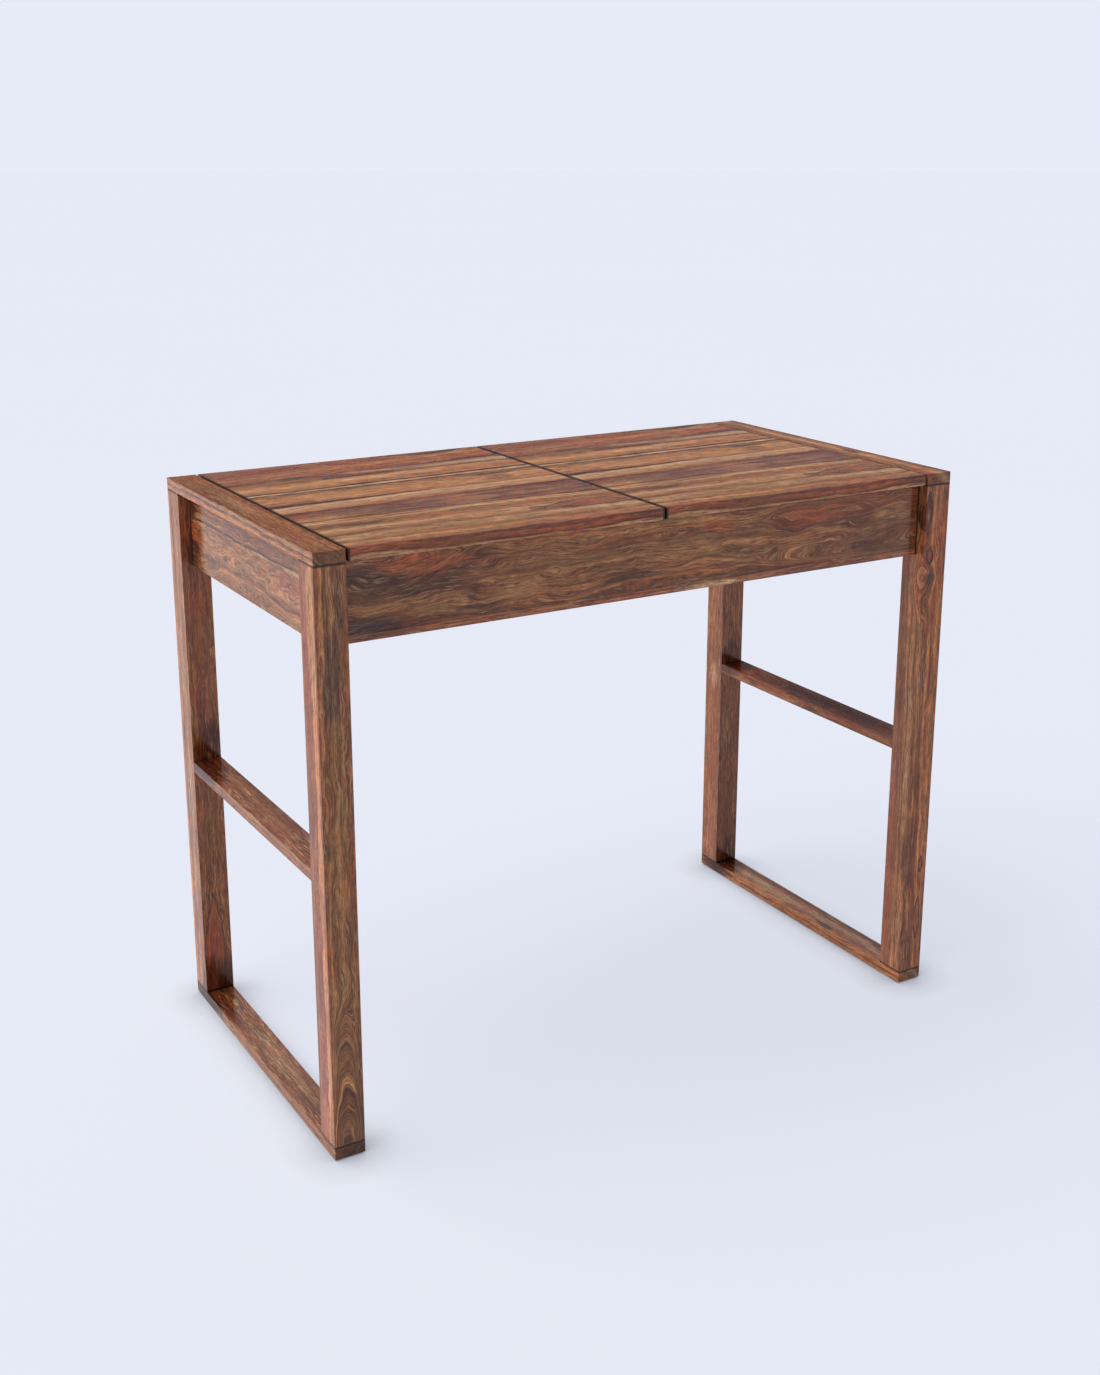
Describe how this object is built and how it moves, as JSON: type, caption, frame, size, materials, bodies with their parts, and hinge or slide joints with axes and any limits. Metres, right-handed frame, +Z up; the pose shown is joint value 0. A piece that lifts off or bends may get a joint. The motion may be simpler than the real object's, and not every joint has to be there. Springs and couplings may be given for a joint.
{
  "type": "study table",
  "caption": "Solid wood study table with lift-up lids over a shallow storage box on open sled-shaped end frames.",
  "frame": {"origin": "on the floor under the middle of the table", "axes": "+X to the right along the table as seen from its front, +Y from the front to the hinged back, +Z up"},
  "size_m": [0.936, 0.5, 0.762],
  "materials": {
    "frame_sheesham": "semi-gloss lacquer, grain along each piece",
    "lid_sheesham": "semi-gloss lacquer, edge-glued strips along the table",
    "inner_sheesham": "thin satin lacquer",
    "bottom_board": "thin satin lacquer",
    "beech_dowel": "bare",
    "zinc_screws": "zinc plated",
    "hinge_brass": "antique brass",
    "bumper_felt": "pressed felt",
    "glide_plastic": "matte"
  },
  "bodies": {
    "table": {"front_left_leg": "frame_sheesham", "back_left_leg": "frame_sheesham", "front_right_leg": "frame_sheesham", "back_right_leg": "frame_sheesham", "left_top_rail": "frame_sheesham", "right_top_rail": "frame_sheesham", "left_foot_rail": "frame_sheesham", "right_foot_rail": "frame_sheesham", "left_stretcher": "frame_sheesham", "right_stretcher": "frame_sheesham", "front_apron": "frame_sheesham", "back_apron": "frame_sheesham", "left_side_panel": "frame_sheesham", "right_side_panel": "frame_sheesham", "centre_divider": "frame_sheesham", "front_cleat": "inner_sheesham", "back_cleat": "inner_sheesham", "left_cleat": "inner_sheesham", "right_cleat": "inner_sheesham", "bottom_panel": "bottom_board", "top_rail_dowels": "beech_dowel", "stretcher_dowels": "beech_dowel", "apron_dowels": "beech_dowel", "side_panel_dowels": "beech_dowel", "divider_dowels": "beech_dowel", "foot_rail_screws": "zinc_screws", "cleat_screws": "zinc_screws", "panel_pins": "zinc_screws", "glide_nails": "zinc_screws", "left_inner_hinge_fixed_leaf": "hinge_brass", "left_inner_hinge_pin": "hinge_brass", "left_outer_hinge_fixed_leaf": "hinge_brass", "left_outer_hinge_pin": "hinge_brass", "right_inner_hinge_fixed_leaf": "hinge_brass", "right_inner_hinge_pin": "hinge_brass", "right_outer_hinge_fixed_leaf": "hinge_brass", "right_outer_hinge_pin": "hinge_brass", "hinge_frame_screws": "hinge_brass", "lid_bumpers": "bumper_felt", "front_left_glide": "glide_plastic", "back_left_glide": "glide_plastic", "front_right_glide": "glide_plastic", "back_right_glide": "glide_plastic"},
    "left_lid": {"left_lid": "lid_sheesham", "left_lid_inner_batten": "inner_sheesham", "left_lid_outer_batten": "inner_sheesham", "left_batten_screws": "zinc_screws", "left_lid_hinge_screws": "hinge_brass", "left_inner_hinge_moving_leaf": "hinge_brass", "left_outer_hinge_moving_leaf": "hinge_brass"},
    "right_lid": {"right_lid": "lid_sheesham", "right_lid_inner_batten": "inner_sheesham", "right_lid_outer_batten": "inner_sheesham", "right_batten_screws": "zinc_screws", "right_lid_hinge_screws": "hinge_brass", "right_inner_hinge_moving_leaf": "hinge_brass", "right_outer_hinge_moving_leaf": "hinge_brass"}
  },
  "joints": [
    {"name": "left_lid_hinge", "type": "hinge", "parent": "table", "child": "left_lid", "pos_m": [-0.21325, 0.23755, 0.7465], "axis": [-1, 0, 0], "range_deg": [0, 100]},
    {"name": "right_lid_hinge", "type": "hinge", "parent": "table", "child": "right_lid", "pos_m": [0.21325, 0.23755, 0.7465], "axis": [-1, 0, 0], "range_deg": [0, 100]}
  ]
}
